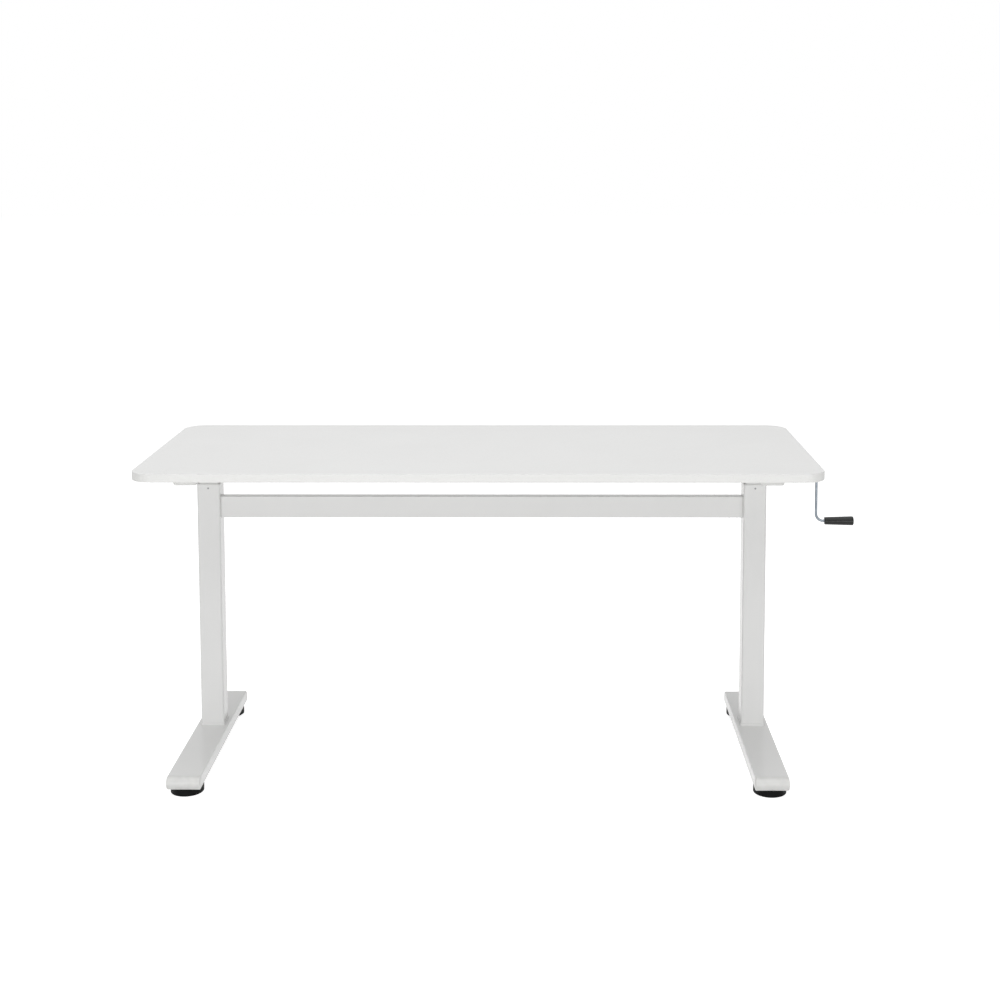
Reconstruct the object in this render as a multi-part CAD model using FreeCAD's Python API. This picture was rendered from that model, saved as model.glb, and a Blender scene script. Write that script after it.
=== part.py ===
import FreeCAD, Part
import math
import os

from FreeCAD import Vector

# Height adjustable standing desk with a hand crank, in millimetres.
# Model axes: X to the sitter's right, Y away from the sitter, Z up.
# Every piece is placed from the floor point under the middle of the desktop;
# export() then moves the origin to the middle of the whole footprint.

# Desktop and travel
desktop_width = 1500.0
desktop_depth = 600.0
desktop_thickness = 19.0
desktop_corner_radius = 48.0
desktop_edge_round = 1.5
lowest_height = 700.0
lift_travel = 480.0

# Columns: a fixed outer tube and a sliding inner tube
column_inset = 116.0
outer_wall = 2.0
outer_corner = 5.0
inner_side = 45.0
inner_wall = 2.0
inner_corner = 4.0
tube_gap = 2.0
slide_clearance = 0.3
column_head_drop = 81.0
sleeve_length = 40.0
sleeve_flange = 2.0
peg_radius = 2.2
peg_drop = 8.0
slider_length = 30.0
slider_stop_gap = 1.0

# Feet
foot_width = 74.0
foot_height = 27.5
foot_wall = 2.0
foot_corner = 3.0
foot_front = 326.0
foot_back = 202.0
cap_nose = 15.0
cap_side_round = 1.5
cap_plug = 15.0
fit_clearance = 0.3

# Levelling glides
glide_radius = 36.0
glide_height = 16.6
glide_gap = 0.4
glide_edge = 2.5
glide_inset = 29.4
stud_radius = 5.0
stud_bottom = 4.0
stud_top_gap = 4.5
insert_radius = 8.0
insert_height = 10.0
running_clearance = 0.08

# Column foot: weld flange, threaded block and bolts
flange_overhang = 2.0
flange_thickness = 4.0
block_height = 10.0
bolt_spacing = 34.0
bolt_radius = 3.0
bolt_head_radius = 5.0
bolt_head_height = 6.0
bolt_end_gap = 1.5
access_radius = 6.5

# Crossbar
bar_height = 50.0
bar_depth = 25.0
bar_wall = 1.5
bar_corner = 2.0
bar_drop = 82.0
spigot_length = 40.0
bar_screw_radius = 2.5
bar_screw_head_radius = 4.5
bar_screw_head_height = 2.5
bar_screw_length = 12.0

# Lift screw, nut and its post
screw_radius = 8.0
screw_past_nut = 6.0
journal_radius = 5.0
post_radius = 14.0
post_wall = 2.0
post_drop = 44.0
nut_length = 25.0
nut_flange_clearance = 3.5
nut_flange_height = 4.0

# Gearbox in the head of each column
shaft_drop = 36.0
housing_gap = 0.3
housing_wall = 1.7
housing_floor = 8.0
gear_clearance = 1.2
bearing_radius = 13.0
bearing_height = 8.0
bearing_lift = 0.3
screw_hole_clearance = 0.5
housing_bolt_edge = 4.2
housing_bolt_radius = 2.0
side_screw_rise = 10.0
side_screw_radius = 2.0
side_screw_head = 1.2
side_screw_head_radius = 3.0
side_screw_bite = 1.2

# Mitre gears
gear_teeth = 14
gear_face = 5.0
gear_backlash = 0.35
gear_pressure_angle = math.radians(20.0)
gear_addendum = 0.9
gear_dedendum = 1.25
drive_hub = 1.5
screw_hub = 9.4
gear_bearing_gap = 0.3
hub_share = 0.75

# Cross shaft and crank
shaft_flats = 6.0
bush_radius = 6.0
coupler_radius = 6.0
coupler_start = 4.0
coupler_clearance = 1.5
shaft_joint = 10.0
crank_radius = 3.0
crank_overhang = 29.7
crank_throw = 118.0
upper_bend = 10.0
lower_bend = 17.0
grip_gap = 2.3
grip_length = 68.0
grip_inner_radius = 8.8
grip_outer_radius = 10.65
grip_edge = 1.5
grip_cap_length = 4.0
retainer_radius = 5.0
retainer_thickness = 1.5
retainer_gap = 0.8
rod_end_past_retainer = 1.5

# Arms and head plates under the desktop
arm_width = 52.0
arm_height = 25.0
arm_wall = 2.0
arm_corner = 5.0
arm_offset = 11.0
arm_inset = 86.0
arm_cap = 3.0
arm_cap_plug = 12.0
arm_cap_round = 6.0
head_plate = 4.0
desktop_screw_inset = 27.0
desktop_screw_radius = 3.0
desktop_screw_head_radius = 6.0
desktop_screw_head = 3.5
desktop_screw_bite = 13.0

# Places and sizes worked out from the sizes above
desktop_bottom = lowest_height - desktop_thickness
column_x = desktop_width / 2 - column_inset
foot_bottom = glide_height + glide_gap
foot_top = foot_bottom + foot_height
stud_top = foot_top - foot_wall - stud_top_gap
flange_top = foot_top + flange_thickness
block_top = flange_top + block_height
inner_inside = inner_side - 2 * inner_wall
half_inner = inner_side / 2
nut_flange_radius = inner_inside / 2 - nut_flange_clearance
outer_inside = inner_side + 2 * tube_gap
outer_side = outer_inside + 2 * outer_wall
outer_top = lowest_height - column_head_drop
sleeve_bottom = outer_top - sleeve_length - sleeve_flange
inner_bottom = sleeve_bottom - slider_stop_gap - slider_length - lift_travel
inner_top = desktop_bottom - head_plate
bar_bottom = outer_top - bar_drop
post_top = outer_top - post_drop
screw_bottom = post_top - nut_length - lift_travel - screw_past_nut
shaft_z = desktop_bottom - shaft_drop
half_housing = inner_inside / 2 - housing_gap
housing_bolt_offset = half_housing - housing_bolt_edge
cavity_radius = half_housing - housing_wall
coupler_end = cavity_radius - coupler_clearance
gear_pitch_radius = (cavity_radius - gear_clearance) / math.sqrt(2)
gear_module = 2 * gear_pitch_radius / gear_teeth
gear_root = gear_dedendum * gear_module / math.sqrt(2)
gear_back = gear_pitch_radius + gear_root
gear_inner_share = 1 - gear_face / (gear_pitch_radius * math.sqrt(2))
cavity_below_shaft = gear_back + screw_hub + gear_bearing_gap
cavity_above_shaft = gear_back + gear_clearance
bearing_low = shaft_z - cavity_below_shaft - bearing_height
screw_shoulder = bearing_low - bearing_lift
housing_bottom = screw_shoulder - housing_floor
arm_x = column_x + arm_offset
arm_reach = desktop_depth / 2 - arm_inset
arm_bottom = desktop_bottom - arm_height
crank_arm_x = desktop_width / 2 + crank_overhang
grip_start = crank_arm_x + lower_bend + grip_gap
grip_end = grip_start + grip_length


def point(axis, across, up, along):
    """A point from its place across, up and along a piece that runs in one axis."""
    if axis == "X":
        return Vector(along, across, up)
    if axis == "Y":
        return Vector(across, along, up)
    return Vector(across, up, along)


def arc_edge(start, middle, end):
    return Part.Arc(start, middle, end).toShape()


def prism(axis, width, height, corner, start, end, centre=(0.0, 0.0)):
    """A bar of rounded rectangular section from start to end along an axis."""
    across, up = centre
    mids = (
        (across + width / 2 - corner, up + height / 2 - corner, 0),
        (across - width / 2 + corner, up + height / 2 - corner, 90),
        (across - width / 2 + corner, up - height / 2 + corner, 180),
        (across + width / 2 - corner, up - height / 2 + corner, 270),
    )
    edges = []
    last = None
    first = None
    for u, v, turn in mids:
        ends = []
        for step in (0, 45, 90):
            angle = math.radians(turn + step)
            place = (u + corner * math.cos(angle), v + corner * math.sin(angle))
            ends.append(point(axis, place[0], place[1], start))
        if last is not None:
            edges.append(Part.makeLine(last, ends[0]))
        else:
            first = ends[0]
        edges.append(arc_edge(*ends))
        last = ends[2]
    edges.append(Part.makeLine(last, first))
    face = Part.Face(Part.Wire(edges))
    return face.extrude(point(axis, 0, 0, end - start))


def tube(axis, width, height, corner, wall, start, end, centre=(0.0, 0.0)):
    """A rectangular tube with rounded corners."""
    outside = prism(axis, width, height, corner, start, end, centre)
    inner_round = max(corner - wall, 0.5)
    bore = prism(axis, width - 2 * wall, height - 2 * wall, inner_round,
                 start - 1, end + 1, centre)
    return outside.cut(bore)


def rod(axis, radius, start, end, centre=(0.0, 0.0)):
    """A round bar from start to end along an axis."""
    base = point(axis, centre[0], centre[1], start)
    return Part.makeCylinder(radius, end - start, base, point(axis, 0, 0, 1))


def ring(axis, radius, bore, start, end, centre=(0.0, 0.0)):
    return rod(axis, radius, start, end, centre).cut(rod(axis, bore, start - 1, end + 1, centre))


def moved(shape, x=0.0, y=0.0, z=0.0):
    copy = shape.copy()
    copy.translate(Vector(x, y, z))
    return copy


def corners(spacing):
    """The four corners of a square, as offsets from its middle."""
    return [(sx * spacing / 2, sy * spacing / 2) for sx in (-1, 1) for sy in (-1, 1)]


# Feet

def glide_places():
    return (-(foot_front - glide_inset), foot_back - glide_inset)


def foot(x):
    """Rectangular steel tube lying under a column, drilled for bolts and glides."""
    body = tube("Y", foot_width, foot_height, foot_corner, foot_wall,
                -foot_front, foot_back, (x, foot_bottom + foot_height / 2))
    for dx, dy in corners(bolt_spacing):
        hole = rod("Z", bolt_radius, foot_top - foot_wall - 1, foot_top + 1, (x + dx, dy))
        access = rod("Z", access_radius, foot_bottom - 1, foot_bottom + foot_wall + 1, (x + dx, dy))
        body = body.cut(hole).cut(access)
    for y in glide_places():
        clear = stud_radius + slide_clearance
        body = body.cut(rod("Z", clear, foot_bottom - 1, foot_bottom + foot_wall + 1, (x, y)))
    return body


def foot_cap(x, end, direction):
    """Bullnose cap: a plug inside the tube and a round nose that turns back under the foot."""
    middle = foot_bottom + foot_height / 2
    left = x - foot_width / 2
    nose_z = foot_top - cap_nose
    half_turn = cap_nose * math.sqrt(0.5)
    under = math.sqrt(cap_nose ** 2 - (nose_z - foot_bottom) ** 2)
    top = Vector(left, end, foot_top)
    shoulder = Vector(left, end + direction * half_turn, nose_z + half_turn)
    low = Vector(left, end + direction * under, foot_bottom)
    inner_low = Vector(left, end, foot_bottom)
    edges = [
        arc_edge(top, shoulder, low),
        Part.makeLine(low, inner_low),
        Part.makeLine(inner_low, top),
    ]
    nose = Part.Face(Part.Wire(edges)).extrude(Vector(foot_width, 0, 0))
    sides = [e for e in nose.Edges if e.BoundBox.XLength < 0.01
             and e.BoundBox.YLength > 1]
    nose = nose.makeFillet(cap_side_round, sides)
    plug_width = foot_width - 2 * foot_wall - 2 * fit_clearance
    plug_height = foot_height - 2 * foot_wall - 2 * fit_clearance
    inside_end = end - direction * cap_plug
    plug = prism("Y", plug_width, plug_height, foot_corner - foot_wall, min(end, inside_end),
                 max(end, inside_end), (x, middle))
    return nose.fuse(plug).removeSplitter()


def glide_insert(x, y):
    low = foot_bottom + foot_wall
    return ring("Z", insert_radius, stud_radius + running_clearance,
                low, low + insert_height, (x, y))


def glide_pad(x, y):
    """Moulded round pad, threaded on the stud that stands in it."""
    pad = rod("Z", glide_radius, 0, glide_height, (x, y))
    rims = [e for e in pad.Edges if abs(e.Length - 2 * math.pi * glide_radius) < 0.01]
    pad = pad.makeFillet(glide_edge, [e for e in rims if e.CenterOfMass.z > 1])
    return pad.cut(rod("Z", stud_radius, stud_bottom, glide_height + 1, (x, y)))


def glide_stud(x, y):
    return rod("Z", stud_radius, stud_bottom, stud_top, (x, y))


# Fixed column

def base_flange(x):
    """Plate welded round the foot of the column."""
    side = outer_side + 2 * flange_overhang
    plate = prism("Z", side, side, outer_corner, foot_top, flange_top, (x, 0))
    for dx, dy in corners(bolt_spacing):
        plate = plate.cut(rod("Z", bolt_radius, foot_top - 1, flange_top + 1, (x + dx, dy)))
    return plate


def column_block(x):
    """Threaded steel block inside the foot of the column, which the bolts pull down."""
    side = outer_inside - 2 * fit_clearance
    block = prism("Z", side, side, outer_corner - outer_wall, flange_top, block_top, (x, 0))
    for dx, dy in corners(bolt_spacing):
        depth = block_top - bolt_end_gap
        block = block.cut(rod("Z", bolt_radius, flange_top - 1, depth, (x + dx, dy)))
    return block


def column_bolt(x, y):
    seat = foot_top - foot_wall
    head = rod("Z", bolt_head_radius, seat - bolt_head_height, seat, (x, y))
    return head.fuse(rod("Z", bolt_radius, seat, block_top - bolt_end_gap, (x, y)))


def peg_faces():
    """Direction of each tube face that holds a guide peg."""
    return (("Y", -1), ("Y", 1), ("X", -1), ("X", 1))


def guide_peg(x, axis, direction):
    """Plastic peg that keys the guide sleeve to the tube wall."""
    inside = direction * outer_inside / 2
    outside = direction * outer_side / 2
    level = outer_top - sleeve_flange - peg_drop
    low, high = min(inside, outside), max(inside, outside)
    if axis == "X":
        return rod("X", peg_radius, x + low, x + high, (0, level))
    return rod("Y", peg_radius, low, high, (x, level))


def outer_column(x):
    top = outer_top - sleeve_flange
    body = tube("Z", outer_side, outer_side, outer_corner, outer_wall, flange_top, top, (x, 0))
    for axis, direction in peg_faces():
        body = body.cut(guide_peg(x, axis, direction))
    return body


def guide_sleeve(x):
    """Plastic sleeve in the mouth of the fixed tube, with a flange on its rim."""
    top = outer_top - sleeve_flange
    neck = prism("Z", outer_inside, outer_inside, outer_corner - outer_wall,
                 sleeve_bottom, top, (x, 0))
    flange = prism("Z", outer_side, outer_side, outer_corner, top, outer_top, (x, 0))
    hole_side = inner_side + 2 * slide_clearance
    hole = prism("Z", hole_side, hole_side, inner_corner + slide_clearance,
                 sleeve_bottom - 1, outer_top + 1, (x, 0))
    return neck.fuse(flange).cut(hole).removeSplitter()


# Crossbar

def bar_end():
    return column_x - outer_side / 2


def bar_screw_places():
    """Distance of each crossbar screw from the end of the bar."""
    return (spigot_length * 0.3, spigot_length * 0.75)


def bar_centre():
    return (0.0, bar_bottom + bar_height / 2)


def crossbar():
    body = tube("X", bar_depth, bar_height, bar_corner, bar_wall,
                -bar_end(), bar_end(), bar_centre())
    for side in (-1, 1):
        for back in bar_screw_places():
            x = side * (bar_end() - back)
            hole = rod("Z", bar_screw_radius, bar_bottom - 1, bar_bottom + bar_wall + 1, (x, 0))
            body = body.cut(hole)
    return body


def bar_screw(side, back):
    x = side * (bar_end() - back)
    head_low = bar_bottom - bar_screw_head_height
    head = rod("Z", bar_screw_head_radius, head_low, bar_bottom, (x, 0))
    return head.fuse(rod("Z", bar_screw_radius, bar_bottom, bar_bottom + bar_screw_length, (x, 0)))


def crossbar_spigot(side):
    """Block welded on the column that the end of the crossbar slides over."""
    width = bar_depth - 2 * bar_wall - 2 * fit_clearance
    height = bar_height - 2 * bar_wall - 2 * fit_clearance
    near, far = side * bar_end(), side * (bar_end() - spigot_length)
    block = prism("X", width, height, 1.0, min(near, far), max(near, far), bar_centre())
    for back in bar_screw_places():
        block = block.cut(bar_screw(side, back))
    return block


# Screw drive

def nut_post(x):
    """Steel tube that stands in the column and holds the nut up."""
    return ring("Z", post_radius, post_radius - post_wall, block_top, post_top, (x, 0))


def drive_nut(x):
    """Bronze nut: a body in the post's bore and a flange on its rim."""
    body = rod("Z", post_radius - post_wall, post_top - nut_length, post_top, (x, 0))
    flange = rod("Z", nut_flange_radius, post_top, post_top + nut_flange_height, (x, 0))
    bore = rod("Z", screw_radius + running_clearance, 0, outer_top, (x, 0))
    return body.fuse(flange).cut(bore)


def lift_screw(x):
    """Two-start screw, drawn at its outside diameter, with a journal for bearing and gear."""
    thread = rod("Z", screw_radius, screw_bottom, screw_shoulder, (x, 0))
    journal_top = shaft_z - gear_pitch_radius * gear_inner_share
    return thread.fuse(rod("Z", journal_radius, screw_shoulder, journal_top, (x, 0)))


def screw_bearing(x):
    return ring("Z", bearing_radius, journal_radius + running_clearance,
                bearing_low, bearing_low + bearing_height, (x, 0))


# Mitre gears

def involute(angle):
    return math.tan(angle) - angle


def tooth_half_profile():
    """(height over the pitch cone, half thickness) from root to tip, at the outer end."""
    pitch = gear_pitch_radius * math.sqrt(2)
    base = pitch * math.cos(gear_pressure_angle)
    half_angle = (math.pi * gear_module - gear_backlash * 2) / 4 / pitch
    base_angle = half_angle + involute(gear_pressure_angle)
    tip = pitch + gear_addendum * gear_module
    root = pitch - (gear_dedendum + 0.1) * gear_module
    profile = [(root * math.cos(base_angle) - pitch, root * math.sin(base_angle))]
    steps = 4
    for i in range(steps + 1):
        radius = base + (tip - base) * i / steps
        angle = base_angle - involute(math.acos(base / radius))
        profile.append((radius * math.cos(angle) - pitch, radius * math.sin(angle)))
    return profile


def tooth_wire(scale):
    """Outline of one tooth, pointing along -X, for a gear below its apex."""
    slope = 1 / math.sqrt(2)
    outline = []
    half = tooth_half_profile()
    for side, rows in ((1, half), (-1, reversed(half))):
        for height, thickness in rows:
            out = gear_pitch_radius + height * slope
            drop = -gear_pitch_radius + height * slope
            outline.append(Vector(-out, side * thickness, drop) * scale)
    outline.append(outline[0])
    return Part.makePolygon(outline)


def mitre_gear(hub, bore, turned=0.0):
    """Bevel gear with its apex at the origin, lying below it, teeth facing up and out."""
    scale = gear_inner_share
    rim = (gear_pitch_radius - gear_root, -gear_back)
    inner = (rim[0] * scale, rim[1] * scale)
    hub_radius = rim[0] * hub_share
    hub_z = rim[1] - hub
    profile = [
        Vector(bore, 0, inner[1]),
        Vector(inner[0], 0, inner[1]),
        Vector(rim[0], 0, rim[1]),
        Vector(hub_radius, 0, rim[1]),
        Vector(hub_radius, 0, hub_z),
        Vector(bore, 0, hub_z),
    ]
    profile.append(profile[0])
    blank = Part.Face(Part.makePolygon(profile)).revolve(Vector(0, 0, 0), Vector(0, 0, 1), 360)
    tooth = Part.makeLoft([tooth_wire(1.0), tooth_wire(scale)], True, True)
    teeth = []
    for i in range(gear_teeth):
        copy = tooth.copy()
        copy.rotate(Vector(0, 0, 0), Vector(0, 0, 1), (i + turned) * 360.0 / gear_teeth)
        teeth.append(copy)
    gear = Part.Solid(blank.Shells[0]).multiFuse(teeth).removeSplitter()
    return gear.cut(rod("Z", bore, hub_z - 1, 1))


def screw_gear(x):
    """Gear keyed on the screw's journal, a tooth towards the drive gear."""
    return moved(mitre_gear(screw_hub, journal_radius), x, 0, shaft_z)


def hexagon_bar(flats, start, end):
    """A hexagon bar along X with two flats level."""
    radius = flats / math.sqrt(3)
    outline = []
    for i in range(7):
        angle = math.radians(60 * i)
        outline.append(Vector(start, radius * math.cos(angle), radius * math.sin(angle)))
    return Part.Face(Part.makePolygon(outline)).extrude(Vector(end - start, 0, 0))


def drive_gear(x):
    """Gear that slides on the hexagon shaft, a gap towards the screw gear."""
    gear = mitre_gear(drive_hub, shaft_flats / 4, 0.5)
    gear.rotate(Vector(0, 0, 0), Vector(0, 1, 0), 90)
    gear = moved(gear, x, 0, shaft_z)
    shaft = moved(hexagon_bar(shaft_flats, x - 2 * cavity_radius, x + 2 * cavity_radius), z=shaft_z)
    return gear.cut(shaft)


# Gear housing

def housing_hollow(x):
    """What is cut out of the housing: gear space, bearing seat, shaft bushes and bolts."""
    gear_space = rod("Z", cavity_radius, shaft_z - cavity_below_shaft,
                     shaft_z + cavity_above_shaft, (x, 0))
    seat = rod("Z", bearing_radius, bearing_low, shaft_z, (x, 0))
    mouth = rod("Z", screw_radius + screw_hole_clearance, 0, shaft_z, (x, 0))
    line = rod("X", bush_radius, x - inner_side, x + inner_side, (0, shaft_z))
    hollow = gear_space.fuse(seat).fuse(mouth).fuse(line)
    for place in housing_bolt_places():
        hollow = hollow.fuse(rod("Z", housing_bolt_radius, 0, desktop_bottom, (x + place[0], place[1])))
    for side in (-1, 1):
        hollow = hollow.fuse(side_screw(x, side))
    return hollow


def housing_bolt_places():
    return ((-housing_bolt_offset, -housing_bolt_offset), (housing_bolt_offset, housing_bolt_offset))


def housing_block(low, high, x):
    side = 2 * half_housing
    block = prism("Z", side, side, inner_corner - inner_wall, low, high, (x, 0))
    return block.cut(housing_hollow(x))


def gear_housing(x):
    """Lower half of the cast housing, which holds the bearing."""
    return housing_block(housing_bottom, shaft_z, x)


def housing_cover(x):
    """Upper half of the cast housing, under the head plate."""
    return housing_block(shaft_z, inner_top, x)


def housing_bolt(x, place):
    """Long bolt from under the housing through both halves into the head plate."""
    low = housing_bottom
    centre = (x + place[0], place[1])
    head = rod("Z", housing_bolt_radius * 1.75, low - 2 * housing_bolt_radius, low, centre)
    return head.fuse(rod("Z", housing_bolt_radius, low, desktop_bottom, centre))


def side_screw(x, side):
    """Short screw through the tube wall into the housing."""
    face = x + side * half_inner
    inside = x + side * (half_housing - side_screw_bite)
    head_out = face + side * side_screw_head
    centre = (0, shaft_z + side_screw_rise)
    shank = rod("X", side_screw_radius, min(face, inside), max(face, inside), centre)
    head = rod("X", side_screw_head_radius, min(face, head_out), max(face, head_out), centre)
    return shank.fuse(head)


def shaft_bush(x, side, bore):
    """Plastic bush in the tube wall and the housing wall."""
    outside = x + side * half_inner
    inside = x + side * cavity_radius
    return ring("X", bush_radius, bore, min(outside, inside), max(outside, inside), (0, shaft_z))


# Sliding column and desktop

def inner_column(x):
    body = tube("Z", inner_side, inner_side, inner_corner, inner_wall,
                inner_bottom, inner_top, (x, 0))
    body = body.cut(rod("X", bush_radius, x - inner_side, x + inner_side, (0, shaft_z)))
    for side in (-1, 1):
        body = body.cut(side_screw(x, side))
    return body


def lower_slider(x):
    """Plastic ring round the lower end of the sliding tube."""
    outside = outer_inside - 2 * slide_clearance
    ring_body = prism("Z", outside, outside, outer_corner - outer_wall - slide_clearance,
                      inner_bottom, inner_bottom + slider_length, (x, 0))
    return ring_body.cut(prism("Z", inner_side, inner_side, inner_corner,
                               inner_bottom - 1, inner_bottom + slider_length + 1, (x, 0)))


def head_plate_shape(side):
    """Plate welded on top of the sliding tube, between the front and rear arms."""
    x = side * column_x
    inner_edge = x - side * half_inner
    outer_edge = side * (arm_x + arm_width / 2)
    width = abs(outer_edge - inner_edge)
    middle = (inner_edge + outer_edge) / 2
    plate = prism("Z", width, inner_side, 1.0, inner_top, desktop_bottom, (middle, 0))
    for place in housing_bolt_places():
        plate = plate.cut(rod("Z", housing_bolt_radius, inner_top - 1, desktop_bottom + 1,
                              (x + place[0], place[1])))
    return plate


def arm_centre(side):
    return (side * arm_x, arm_bottom + arm_height / 2)


def desktop_screw(side, direction):
    """Pan-head screw up through the arm into the desktop."""
    centre = (side * arm_x, direction * (arm_reach - desktop_screw_inset))
    head = rod("Z", desktop_screw_head_radius, arm_bottom - desktop_screw_head, arm_bottom, centre)
    rim = [e for e in head.Edges if e.CenterOfMass.z < arm_bottom - desktop_screw_head + 0.01
           and e.Length > 2 * math.pi * desktop_screw_head_radius - 0.01]
    head = head.makeFillet(desktop_screw_head * 0.6, rim)
    top = desktop_bottom + desktop_screw_bite
    return head.fuse(rod("Z", desktop_screw_radius, arm_bottom, top, centre))


def arm(side, direction):
    """Box tube that carries the desktop, from the column head towards one edge."""
    near, far = direction * half_inner, direction * (arm_reach - arm_cap)
    body = tube("Y", arm_width, arm_height, arm_corner, arm_wall,
                min(near, far), max(near, far), arm_centre(side))
    return body.cut(desktop_screw(side, direction))


def arm_end_cap(side, direction):
    """Plastic cap with a rounded lower corner and a plug inside the tube."""
    end = direction * (arm_reach - arm_cap)
    outside = direction * arm_reach
    face = prism("Y", arm_width, arm_height, arm_corner, min(end, outside),
                 max(end, outside), arm_centre(side))
    low = [e for e in face.Edges if abs(e.CenterOfMass.y - outside) < 0.01
           and e.CenterOfMass.z < arm_bottom + 0.01]
    face = face.makeFillet(min(arm_cap_round, arm_cap * 0.8), low)
    inside = end - direction * arm_cap_plug
    plug = prism("Y", arm_width - 2 * arm_wall - 2 * fit_clearance,
                 arm_height - 2 * arm_wall - 2 * fit_clearance, arm_corner - arm_wall,
                 min(end, inside), max(end, inside), arm_centre(side))
    return face.fuse(plug).removeSplitter()


def desktop():
    """Coated board with rounded corners and softened edges."""
    board = prism("Z", desktop_width, desktop_depth, desktop_corner_radius,
                  desktop_bottom, lowest_height)
    rims = [e for e in board.Edges
            if abs(e.BoundBox.ZMax - e.BoundBox.ZMin) < 0.01]
    board = board.makeFillet(desktop_edge_round, rims)
    for side in (-1, 1):
        for direction in (-1, 1):
            board = board.cut(desktop_screw(side, direction))
    return board


# Cross shaft, crank and grip

def drive_rod():
    """Hexagon bar from the far side of the left column to the crank's coupler."""
    start = -column_x - half_inner
    return moved(hexagon_bar(shaft_flats, start, column_x + shaft_joint), z=shaft_z)


def shaft_coupler():
    """Sleeve pinned on the shaft's end and the crank's end, inside the right housing."""
    sleeve = rod("X", coupler_radius, column_x + coupler_start, column_x + coupler_end, (0, shaft_z))
    return sleeve.cut(drive_rod()).cut(rod("X", crank_radius, column_x + shaft_joint, grip_end,
                                           (0, shaft_z)))


def rod_end():
    return grip_end - grip_cap_length - retainer_gap


def crank_rod():
    """Round bar bent twice: out of the column, down the arm and out into the grip."""
    low = shaft_z - crank_throw
    turn = math.sqrt(0.5)
    start = Vector(column_x + shaft_joint, 0, shaft_z)
    bend_1 = Vector(crank_arm_x - upper_bend, 0, shaft_z)
    bend_1_middle = bend_1 + Vector(upper_bend * turn, 0, -upper_bend * (1 - turn))
    bend_1_end = Vector(crank_arm_x, 0, shaft_z - upper_bend)
    bend_2 = Vector(crank_arm_x, 0, low + lower_bend)
    bend_2_middle = bend_2 + Vector(lower_bend * (1 - turn), 0, -lower_bend * turn)
    bend_2_end = Vector(crank_arm_x + lower_bend, 0, low)
    end = Vector(rod_end(), 0, low)
    path = Part.Wire([
        Part.makeLine(start, bend_1),
        arc_edge(bend_1, bend_1_middle, bend_1_end),
        Part.makeLine(bend_1_end, bend_2),
        arc_edge(bend_2, bend_2_middle, bend_2_end),
        Part.makeLine(bend_2_end, end),
    ])
    section = Part.Wire([Part.makeCircle(crank_radius, start, Vector(1, 0, 0))])
    return path.makePipeShell([section], True, False)


def retainer_x():
    return rod_end() - rod_end_past_retainer - retainer_thickness


def grip_retainer():
    """Push-on steel washer that keeps the grip on the rod."""
    low = shaft_z - crank_throw
    return ring("X", retainer_radius, crank_radius, retainer_x(),
                retainer_x() + retainer_thickness, (0, low))


def crank_grip():
    """Tapered moulded grip that turns on the crank rod."""
    low = shaft_z - crank_throw
    length = grip_length - grip_cap_length
    body = Part.makeCone(grip_inner_radius, grip_outer_radius, length,
                         Vector(grip_start, 0, low), Vector(1, 0, 0))
    start_edge = [e for e in body.Edges if abs(e.BoundBox.XMax - grip_start) < 0.01]
    body = body.makeFillet(grip_edge, start_edge)
    bore = rod("X", crank_radius + running_clearance, 0, grip_end, (0, low))
    pocket = rod("X", retainer_radius + slide_clearance, retainer_x() - slide_clearance,
                 grip_end, (0, low))
    return body.cut(bore).cut(pocket)


def grip_cap():
    """Rounded cap that closes the outer end of the grip."""
    low = shaft_z - crank_throw
    start = grip_end - grip_cap_length
    cap = rod("X", grip_outer_radius, start, grip_end, (0, low))
    rim = [e for e in cap.Edges if abs(e.BoundBox.XMin - grip_end) < 0.01]
    return cap.makeFillet(grip_cap_length * 0.7, rim)


# Assembly

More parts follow.
